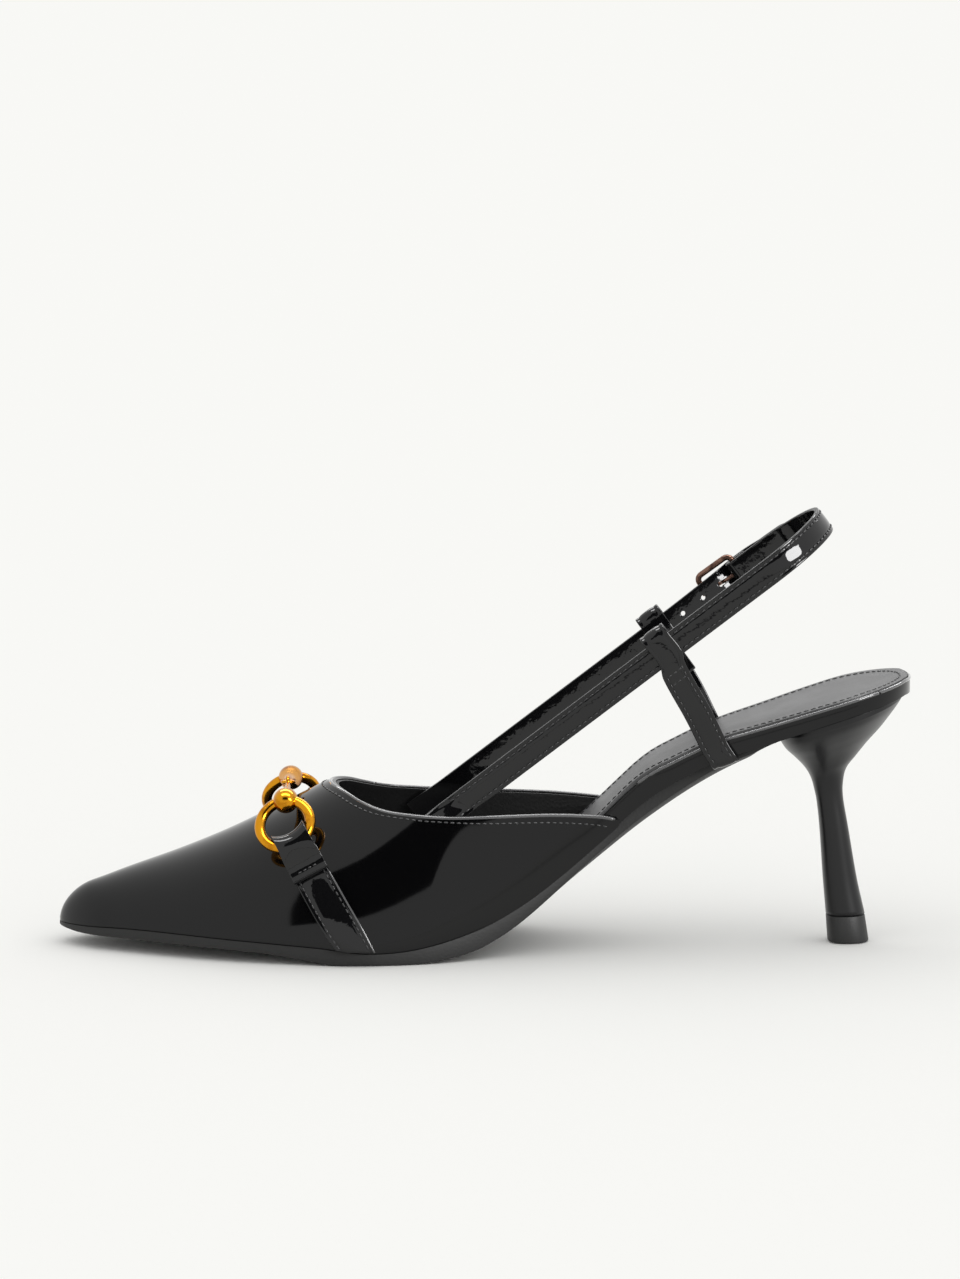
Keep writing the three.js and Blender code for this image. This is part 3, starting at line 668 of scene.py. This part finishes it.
slingStations = [straightAt(a, -1) for a in spread(-25, 6, 16) + spread(10, 102, 30)]
slingStations += [turnedAt(angle) for angle in spread(-math.pi / 2, math.pi / 2, 48)]
slingStations += [straightAt(a, 1) for a in (sling["bar"] + 6, sling["bar"] + 4, sling["bar"] + 2)]
slingStations += [foldedAt(angle) for angle in spread(0, math.pi, 14)]
foldEnd = sling["bar"] + sling["foldBack"]
slingStations += [lambda c: ((sling["bar"] + 2, barB + foldIn), (sling["bar"] + 2, barB + foldOut)),
                  lambda c: ((foldEnd, barB + foldIn), (foldEnd, barB + foldOut))]

frontA, frontB = sling["bar"] - sling["frame"], barB + 2
billetFace = curve([(60, last["slingHalf"]), (74, last["slingHalf"] + 0.3),
                    (frontA, frontB - sling["wire"] - last["gap"]), (sling["bar"] - 6, 25.3),
                    (sling["bar"] - 1, barB + foldOut + last["gap"] + thick),
                    (sling["bar"] + sling["foldBack"] + 0.6, barB + foldOut + last["gap"] + thick),
                    (backCentre + 2, last["slingHalf"] + thick + last["gap"])])
billetStations = [straightAt(a, 1) for a in spread(-25, 6, 16) + spread(10, 66, 18)]
billetStations += [levelAt(a) for a in spread(68, 106, 40)]
tipCount = 14
billetStations += [turnedAt(angle, thick + last["gap"])
                   for angle in spread(math.pi / 2 - 0.08, math.pi / 2 - 0.62, tipCount)]


def tipNarrow(i, count):
    # the free tip closes in a round point
    k = (i - (count - 1 - tipCount * 0.42)) / (tipCount * 0.42)
    return 1.0 if k <= 0 else max(0.12, math.sqrt(max(0.0, 1 - k * k)))


def strapPoint(stations, u, slide, w, pointed=False):
    i = int(round(u * (len(stations) - 1)))
    c = slide * last["slingWidth"]
    outer, inner = stations[i](c)
    narrow = tipNarrow(i, len(stations)) if pointed else 1.0
    a, b = mix(inner[0], outer[0], w), mix(inner[1], outer[1], w)
    return onSling(a, b, c * narrow)


def strapRow(stations, slide, first, end, pointed=False):
    path = []
    total = len(stations) - 1
    for i in range(first, end):
        spot = strapPoint(stations, i / total, slide, 1, pointed)
        inner = strapPoint(stations, i / total, slide, 0, pointed)
        path.append((spot, (spot - inner).normalized()))
    return path


def makeStrap(name, stations, node, pointed, rows):
    total = len(stations) - 1
    share = 0.5 - sling["rowIn"] / last["slingWidth"]
    relief = lambda v: (pressed(v, 0.5 - share) + sling["crown"] * math.sin(math.pi * v)) / thick
    dip = lambda v, w: w + relief(v) if w > 0.5 else w
    place = lambda u, v, w: strapPoint(stations, u, v - 0.5, dip(v, w), pointed)
    strap = slab(name, total, 24, place, strapPatent, sling["edge"], side=edgeInk)
    done(strap, "shoe", (node,))
    for k, slide in enumerate((-share, share)):
        path = strapRow(stations, slide, rows[0], rows[1], pointed)
        done(stitches(name + "Row%d" % k, path, threadMat, *sling["stitch"]))
    return strap


makeStrap("slingSkin", slingStations, "sling_strap", False, (8, len(slingStations) - 16))
billetPiece = makeStrap("billetSkin", billetStations, "sling_billet", True, (8, len(billetStations) - 6))
print("straps made")

# billet holes, punched through; each but the hole in use gets a thin raised rim
billetEnd = len(billetStations) - 1
billetLine = [strapPoint(billetStations, i / billetEnd, 0, 1) for i in range(billetEnd + 1)]
for k in range(-2, 3):
    hole = onSling(sling["bar"] - sling["holeBack"] + k * sling["holePitch"], 0, 0)
    index = min(range(billetEnd + 1), key=lambda i: abs((billetLine[i] - hole).dot(alongWay)))
    spot = billetLine[index]
    way = (billetLine[index + 1] - billetLine[index - 1]).normalized()
    out = squareWay.cross(way).normalized()
    if out.y < 0:
        out.negate()
    for shove in (-1.1, 0, 1.1) if k == 0 else (0,):  # the hole in use is worn to a slot
        bar = [spot + way * shove - out * (thick + 1), spot + way * shove + out]
        radius = sling["holeInUse"] if k == 0 else sling["hole"]
        punched(billetPiece, rod("billetCutter", bar, [radius] * 2, edgeInk, 24))
    if k == 0:
        continue
    done(wire("billetHoleRim%d" % (k + 3), circle(spot, way, squareWay, 0.85, 28), out, 0.1, patent, 8))

# buckle: frame round the heel bar, prong through the middle hole
corner = 1.8
framePoints = []
for signA, signC, start in ((1, 1, 0), (-1, 1, 1), (-1, -1, 2), (1, -1, 3)):
    for turn in spread(0, 1, 8):
        angle = (start + turn) * math.pi / 2
        a = signA * (sling["frame"] / 2 - corner) + corner * math.cos(angle)
        c = signC * (sling["halfWidth"] - corner) + corner * math.sin(angle)
        b = mix(barB, frontB, 0.5 - a / sling["frame"])
        framePoints.append(onSling((sling["bar"] + frontA) / 2 + a, b, c))
frameAxis = (framePoints[2] - framePoints[12]).cross(squareWay).normalized()
done(wire("buckleFramePiece", framePoints, frameAxis, sling["wire"], darkMetal, 20), "buckle_frame",
     ("buckle_frame",))
prongLift = curve([(1.75, 0.1), (4.6, 0.2), (5.8, 1), (7, 2.6), (8.4, 3.4), (12.6, 3.85), (13.6, 3.7)])
prongPoints = [onSling(sling["bar"] - a, barB + prongLift(a), 0)
               for a in (mix(1.75, 13.6, k / 30) for k in range(31))]
prongRadii = [0.5] * 3 + [0.6] * 25 + [0.56, 0.48, 0.3]
prongPiece = rod("buckleProngPiece", prongPoints, prongRadii, darkMetal, 16)
eyeLine = circle(onSling(sling["bar"], barB, 0), alongWay, Vector((0, 1, 0)), 1.75, 28)
eyePiece = wire("buckleProngEye", eyeLine, squareWay, 0.45, darkMetal, 12)
done(prongPiece, "buckle_prong", ("buckle_prong",))
done(eyePiece, "buckle_prong")
print("buckle made")

# side tabs that loop over the straps
tab = {"footX": 72.0, "footZ": 56.5, "width": 8.0, "topA": 68.0, "edge": 0.36, "rowIn": 1.3,
       "stitch": (2.0, 1.5, 0.27), "cross": (1.75, 1.3, 0.26), "crown": 0.16}


def tabCentre():
    rel = Vector((tab["footX"], 0, tab["footZ"] - last["slingRise"]))
    footA, footC = rel.dot(alongWay), rel.dot(squareWay)
    half, gap = last["slingWidth"] / 2, last["gap"]
    topC = half + gap
    outB, bandB = last["slingHalf"] + gap, halfWidth(tab["footX"]) + gap
    turn = gap + thick / 2
    line = [(footA, bandB - 3.4, footC + 0.1), (footA, bandB - 0.6, footC), (footA, bandB + 0.7, footC + 0.9),
            (footA + 0.4, bandB + 0.9, footC + 6),
            (mix(footA, tab["topA"], 0.4), mix(bandB, outB, 0.45) + 0.7, mix(footC, topC, 0.4)),
            (mix(footA, tab["topA"], 0.75), outB + 0.6, mix(footC, topC, 0.75)),
            (tab["topA"], outB + 0.7, topC - last["slingWidth"] + 1)]
    for angle in spread(0, math.pi, 10):
        reach = thick + turn
        b = last["slingHalf"] - thick / 2 + (reach - thick / 2 + 0.05) * math.cos(angle)
        line.append((tab["topA"], b, topC + reach * math.sin(angle)))
    line.append((tab["topA"], last["slingHalf"] - thick - turn - 0.05, -half - 0.6))
    line.append((tab["topA"], outB - thick / 2 - gap, -half - 5.6))
    return line, footC


def resample(line, step):
    # even steps along a smooth line through the points
    lengths = [0.0]
    for a, b in zip(line, line[1:]):
        lengths.append(lengths[-1] + math.dist(a, b))
    parts = [curve(list(zip(lengths, [p[j] for p in line]))) for j in range(len(line[0]))]
    count = int(lengths[-1] / step)
    return [tuple(part(lengths[-1] * k / count) for part in parts) for k in range(count + 1)]


tabLine, tabFootC = tabCentre()
tabLine = resample(tabLine, 0.7)
seamRun = Vector((8, 0, seamZ(tab["footX"] + 4) - seamZ(tab["footX"] - 4)))


def tabPoint(side, i, slide, off):
    a, b, c = tabLine[i]
    before, after = tabLine[max(i - 1, 0)], tabLine[min(i + 1, len(tabLine) - 1)]
    length = math.hypot(after[1] - before[1], after[2] - before[2])
    normal = ((after[2] - before[2]) / length, -(after[1] - before[1]) / length)
    low = 1 - ease(tabFootC + 6, tabFootC + 20, c)
    across = alongWay.lerp(seamRun, low).normalized()
    point = onSling(a, side * (b + normal[0] * off), c + normal[1] * off) + across * slide
    point.y += side * low * (halfWidth(point.x) - halfWidth(tab["footX"]))
    return point


for name, side in (("medial", -1), ("lateral", 1)):
    total = len(tabLine) - 1
    rowAt = tab["rowIn"] / tab["width"]
    relief = lambda v: pressed(v, rowAt) + tab["crown"] * math.sin(math.pi * v)
    dip = lambda v, w: (w - 0.5) * thick + (relief(v) if w > 0.5 else 0)
    place = lambda u, v, w: tabPoint(side, int(round(u * total)), (v - 0.5) * tab["width"], dip(v, w))
    done(slab("tabSkin_" + name, total, 24, place, strapPatent, tab["edge"], side=edgeInk), "shoe",
         ("tab_" + name,))
    upTo = next(i for i, p in enumerate(tabLine) if p[2] > -last["slingWidth"] / 2 - 1.5)
    for k, slide in enumerate((-1, 1)):
        spots = [(tabPoint(side, i, slide * (tab["width"] / 2 - tab["rowIn"]), thick / 2),
                  tabPoint(side, i, slide * 2, thick / 2) - tabPoint(side, i, slide * 2, -thick / 2))
                 for i in range(7, upTo)]
        done(stitches("tabRow_%s%d" % (name, k), spots, threadMat, *tab["stitch"]))
    for k, back in enumerate((2, 6)):
        i = upTo - back
        spots = [(tabPoint(side, i, mix(-2.6, 2.6, j / 8), thick / 2),
                  tabPoint(side, i, 0, thick / 2) - tabPoint(side, i, 0, -thick / 2)) for j in range(9)]
        done(stitches("tabCross_%s%d" % (name, k), spots, threadMat, *tab["cross"]))
print("tabs made")

# vamp straps, rings and bit
bit = {"radius": 7.6, "wire": 1.6, "tilt": math.radians(55), "skew": math.radians(25),
       "pitch": math.radians(13), "x": -57.0, "lowY": 29.9, "lowZ": 33.2,
       "strapWide": 11.0, "foldWide": 10.2, "strapX": -36.0,
       "edge": 0.36, "stitch": (2.0, 1.5, 0.27), "cross": (1.6, 1.2, 0.26), "crown": 0.25, "rim": 0.3,
       "rowAt": 0.12}


def ringAxes(side):
    up = Vector((0, -side * math.cos(bit["tilt"]), math.sin(bit["tilt"])))
    level = Vector((0, side * math.sin(bit["tilt"]), math.cos(bit["tilt"])))
    ahead = Vector((1, 0, 0))
    length = ahead * math.cos(bit["pitch"]) + level * math.sin(bit["pitch"])
    out = level * math.cos(bit["pitch"]) - ahead * math.sin(bit["pitch"])
    pull = up * math.cos(bit["skew"]) - length * math.sin(bit["skew"])
    wide = length * math.cos(bit["skew"]) + up * math.sin(bit["skew"])
    centre = Vector((bit["x"], side * bit["lowY"], bit["lowZ"])) + up * bit["radius"]
    return {"up": up, "length": length, "out": out, "pull": pull, "wide": wide, "centre": centre,
            "top": centre + up * bit["radius"], "fold": centre - pull * bit["radius"]}


foldRadius = bit["wire"] + 3 * last["gap"]
climbs, curls, backs = spread(0, 0.8, 32), spread(0, math.pi, 16), spread(0.8, 10.5, 14)
vampStrapEnd = len(climbs) + len(curls) + len(backs) - 1


def vampStrapPoint(side, u, v, w):
    axes = ringAxes(side)
    startZ = seamZ(bit["strapX"]) + 0.5
    under = axes["fold"] - axes["out"] * (foldRadius + thick / 2)
    i = int(round(u * vampStrapEnd))
    if i < len(climbs):
        narrow = ease(0.6, 1, climbs[i])
    else:
        narrow = 1 - ease(2, 5, backs[max(0, i - len(climbs) - len(curls))])
    slide = (v - 0.5) * mix(bit["strapWide"], bit["foldWide"], narrow)
    layer = (w - 0.5) * thick
    if i < len(climbs):
        k = climbs[i]
        x, z = mix(bit["strapX"], under.x, k), mix(startZ, under.z, k)
        lean = math.atan2(bit["strapX"] - under.x, under.z - startZ) * 0.75 * ease(0, 0.3, k)
        spotX = x + slide * math.cos(lean)
        spotZ = max(z + slide * math.sin(lean) * 0.8, seamZ(spotX) + 0.2)
        return Vector((spotX, side * wallY(spotX, spotZ, -last["gap"] - 0.15 - thick / 2 - layer), spotZ))
    j = i - len(climbs)
    inRing = clamp(slide, -bit["foldWide"] / 2, bit["foldWide"] / 2)
    reach = axes["centre"] + axes["wide"] * slide - axes["pull"] * math.sqrt(bit["radius"] ** 2 - inRing ** 2)
    if j < len(curls):
        radius = foldRadius + thick / 2 - layer
        return reach - axes["out"] * radius * math.cos(curls[j]) + axes["pull"] * radius * math.sin(curls[j])
    back = backs[j - len(curls)]
    drop = foldRadius + thick / 2 - 4.9 * ease(0, 9, back)
    sag = bit["radius"] - math.sqrt(bit["radius"] ** 2 - inRing ** 2)
    reach -= axes["pull"] * sag * ease(0, 5, back)  # the fold follows the ring and the flap ends square
    return reach - axes["pull"] * back + axes["out"] * (drop - layer)


def bulbRow(axes, side):
    # teardrop from the ring's top wire down to the small eye, as a turned profile
    eye = Vector((bit["x"], side * 0.85, axes["top"].z + 2))
    way = (eye - axes["top"]).normalized()
    reach = (eye - axes["top"]).length - 1.7
    profile = curve([(-3.9, 0.05), (-3.6, 1.5), (-2.8, 2.6), (-1.4, 3.4), (0.3, 3.7), (2.2, 3.5),
                     (4.8, 2.6), (8, 1.6), (12, 1.05), (reach, 0.8)])
    spots = [mix(-3.9, reach, k / 60) for k in range(61)]
    return eye, way, [axes["top"] + way * a for a in spots], [profile(a) for a in spots]


for name, side in (("medial", -1), ("lateral", 1)):
    axes = ringAxes(side)
    relief = lambda v: (pressed(v, bit["rowAt"], 0.18, 0.05) + bit["crown"] * math.sin(math.pi * v)) / thick
    dip = lambda v, w: w + relief(v) if w > 0.5 else w
    place = lambda u, v, w: vampStrapPoint(side, u, v, dip(v, w))
    done(slab("vampStrapSkin_" + name, vampStrapEnd, 28, place, strapPatent, bit["edge"], side=edgeInk),
         "shoe", ("vamp_strap_" + name,))
    for k, slide in enumerate((bit["rowAt"], 1 - bit["rowAt"])):
        spots = []
        for i in range(1, len(climbs) - 1):
            inner, spot = [vampStrapPoint(side, i / vampStrapEnd, slide, w) for w in (0, 1)]
            spots.append((spot, spot - inner))
        done(stitches("vampStrapRow_%s%d" % (name, k), spots, threadMat, *bit["stitch"]))
    # thin rod along the strap's outer edge, in a lighter tone as a painted highlight
    rim = [vampStrapPoint(side, i / vampStrapEnd, 0.99, 0.93) for i in range(len(climbs) - 2)]
    done(rod("vampStrapHighlightRim_" + name, rim, [bit["rim"]] * len(rim), paintedHighlightPatent, 12))
    i = int(vampStrapEnd * 0.96)
    spots = []
    for j in range(9):
        slide = mix(0.2, 0.8, j / 8)
        faces = [vampStrapPoint(side, i / vampStrapEnd, slide, w) for w in (0, 1)]
        spots.append((max(faces, key=lambda p: (p - axes["centre"]).dot(axes["out"])), axes["out"]))
    done(stitches("vampStrapCross_%s0" % name, spots, threadMat, *bit["cross"]))
    ringLine = circle(axes["centre"], axes["length"], axes["up"], bit["radius"], 72)
    done(wire("ringPiece_" + name, ringLine, axes["out"], bit["wire"], gold, 24), "ring_" + name,
         ("ring_" + name,))
    eye, way, points, radii = bulbRow(axes, side)
    done(rod("bitPiece_" + name, points, radii, gold, 40), "bit_arm_" + name, ("bit_arm_" + name,))
    across = way.cross(Vector((1, 0, 0))).normalized() if side < 0 else Vector((1, 0, 0))
    loop = circle(eye, way, across, 1.7, 32)
    done(wire("bitEye_" + name, loop, way.cross(across).normalized(), 0.6, gold, 14), "bit_arm_" + name)
print("rings and bit made")

# pieces that stay as they are inside the shoe
inside = {"bottom_filler": boardMat, "insole_board": boardMat, "heel_pad": foamMat, "toe_puff": boardMat,
          "steel_shank": steelMat, "heel_tube": steelMat, "top_lift_pin": steelMat, "heel_screw": steelMat,
          "heel_nail_1": steelMat, "heel_nail_2": steelMat, "heel_nail_3": steelMat, "heel_nail_4": steelMat}
for name, material in inside.items():
    for place in frame["nodes"][name].material_slots:
        place.material = material

# floor, light and camera
floorMat = finish("pale sweep", "#fdfdfb", 0.75, ior=1.0)
bm = bmesh.new()
bmesh.ops.create_grid(bm, x_segments=2, y_segments=2, size=40)
floor = keep(bm, "floor", floorMat, False)
floor.location.z = -0.0002

world = bpy.data.worlds.new("studio")
bpy.context.scene.world = world
world.use_nodes = True
world.node_tree.nodes["Background"].inputs["Color"].default_value = colour("#f8f8f7")
world.node_tree.nodes["Background"].inputs["Strength"].default_value = 1.02
bpy.context.scene.view_settings.view_transform = "Standard"

lights = {
    "over": {"at": (0.0, -0.15, 1.2), "size": (1.4, 0.3), "power": 13},
    "rim": {"at": (0.1, 0.9, 1.0), "size": (1.6, 0.2), "power": 9},
    "glint": {"at": (0.85, -0.85, 0.5), "size": (0.5, 0.35), "power": 12},
}
lit = bpy.data.collections.new("lit by the strips")
for piece in list(bpy.context.scene.objects):
    if piece.type == "MESH" and piece is not floor and piece.name != "vampSkin":
        lit.objects.link(piece)
for name, light in lights.items():
    data = bpy.data.lights.new(name, "AREA")
    data.shape = "RECTANGLE"
    data.size, data.size_y = light["size"]
    data.energy = light["power"]
    lamp = bpy.data.objects.new(name, data)
    bpy.context.scene.collection.objects.link(lamp)
    lamp.location = light["at"]
    lamp.light_linking.receiver_collection = lit
    lamp.rotation_euler = (Vector((0, 0, 0.05)) - Vector(light["at"])).to_track_quat("-Z", "Y").to_euler()

# black flags over and in front of the shoe, seen only as dark patches in the gloss
flags = {"high": {"at": (-0.1, -1.75, 1.12), "half": (0.84, 0.56), "tip": 0.9},
         "low": {"at": (0.05, -0.74, 0.004), "half": (0.5, 0.05), "tip": 0.0}}
darkMat = finish("black flag", "#020202", 0.9)  # swallows light
for name, flag in flags.items():
    bm = bmesh.new()
    turn = Matrix.Rotation(flag["tip"], 4, "X")
    bmesh.ops.create_grid(bm, x_segments=1, y_segments=1, size=1,
                          matrix=turn @ Matrix.Diagonal((flag["half"][0], flag["half"][1], 1, 1)))
    card = keep(bm, "flag_" + name, darkMat, False)
    card.location = flag["at"]
    card.visible_camera = card.visible_shadow = card.visible_diffuse = False

view = {"target": Vector((shift * mm, 0, 0.0905)), "far": 1.5, "down": math.radians(7.8), "lens": 142.6}
camera = bpy.data.objects.new("camera", bpy.data.cameras.new("camera"))
bpy.context.scene.collection.objects.link(camera)
bpy.context.scene.camera = camera
camera.data.lens = view["lens"]
camera.data.sensor_width = 36
camera.location = view["target"] + Vector((0, -math.cos(view["down"]), math.sin(view["down"]))) * view["far"]
camera.rotation_euler = (math.pi / 2 - view["down"], 0, 0)
